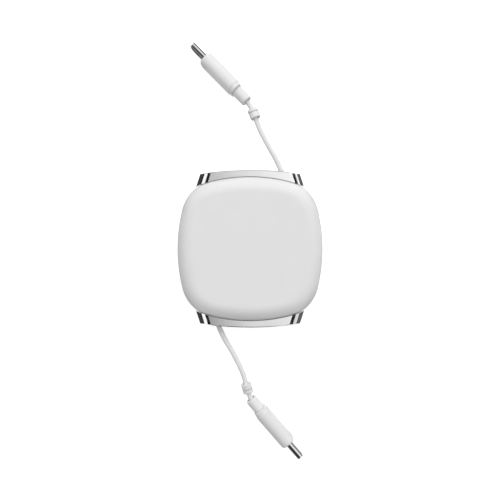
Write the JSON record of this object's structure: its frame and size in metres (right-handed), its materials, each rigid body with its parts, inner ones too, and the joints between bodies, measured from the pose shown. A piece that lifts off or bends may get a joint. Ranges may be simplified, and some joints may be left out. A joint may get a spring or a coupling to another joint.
{
  "type": "retractable charging cable",
  "caption": "Rounded-square reel case with plated necks, from which a thin cable runs out at both ends to a small plug; a spring winds it back and a ratchet ball holds it.",
  "frame": {"origin": "middle of the rear cover's flat face, on the reel's axis, where the case lies on a surface", "axes": "+X across the case, +Y from the lower outlet towards the upper one, +Z out of the front cover"},
  "size_m": [0.0564, 0.1628, 0.016],
  "materials": {
    "cover_white": "satin gloss moulding",
    "frame_chrome": "bright plating on a moulding",
    "eyelet_grey": "matte",
    "chassis_grey": "matte",
    "screw_steel": "zinc plated",
    "axle_steel": "turned",
    "reel_white": "matte",
    "spring_steel": "blued strip",
    "cable_white": "smooth jacket",
    "stopper_white": "gloss",
    "plug_white": "satin gloss moulding",
    "shell_nickel": "nickel plated",
    "liner_black": "matte",
    "contact_gold": "gold flash",
    "board_green": "solder mask"
  },
  "bodies": {
    "case": {"front_cover": "cover_white", "rear_cover": "cover_white", "mid_frame": "frame_chrome", "outlet_eyelet_top": "eyelet_grey", "outlet_eyelet_bottom": "eyelet_grey", "front_chassis": "chassis_grey", "rear_chassis": "chassis_grey", "front_screws": "screw_steel", "rear_screws": "screw_steel", "reel_axle": "axle_steel", "axle_screw": "screw_steel", "cable_lead_top": "cable_white", "cable_lead_bottom": "cable_white"},
    "reel": {"reel": "reel_white", "spring_cap": "reel_white", "cable_winding": "cable_white", "power_spring": "spring_steel"},
    "latch": {"latch_ball": "axle_steel"},
    "plug_top": {"cable_top": "cable_white", "stopper_top": "stopper_white", "plug_boot_top": "plug_white", "plug_sleeve_top": "plug_white", "plug_shell_top": "shell_nickel", "plug_liner_top": "liner_black", "plug_contacts_top": "contact_gold", "plug_board_top": "board_green"},
    "plug_bottom": {"cable_bottom": "cable_white", "stopper_bottom": "stopper_white", "plug_boot_bottom": "plug_white", "plug_sleeve_bottom": "plug_white", "plug_shell_bottom": "shell_nickel", "plug_liner_bottom": "liner_black", "plug_contacts_bottom": "contact_gold", "plug_board_bottom": "board_green"}
  },
  "joints": [
    {"name": "reel_spin", "type": "hinge", "parent": "case", "child": "reel", "pos_m": [0, 0, 0.008], "axis": [0, 0, 1], "range_deg": [-72, 1080], "deforming": ["power_spring"]},
    {"name": "plug_top_slide", "type": "slide", "parent": "case", "child": "plug_top", "axis": [-0.4281, 0.9037, 0], "range_m": [-0.0212, 0.3118], "deforming": ["cable_top"]},
    {"name": "plug_bottom_slide", "type": "slide", "parent": "case", "child": "plug_bottom", "axis": [0.4185, -0.9082, 0], "range_m": [-0.0212, 0.3118], "deforming": ["cable_bottom"]},
    {"name": "latch_slide", "type": "slide", "parent": "case", "child": "latch", "axis": [1, 0, 0], "range_m": [0, 0.0026]}
  ],
  "couplings": [
    {"joint": "plug_top_slide", "follows": "reel_spin", "m_per_rad": 0.0165},
    {"joint": "plug_bottom_slide", "follows": "reel_spin", "m_per_rad": 0.0165}
  ]
}
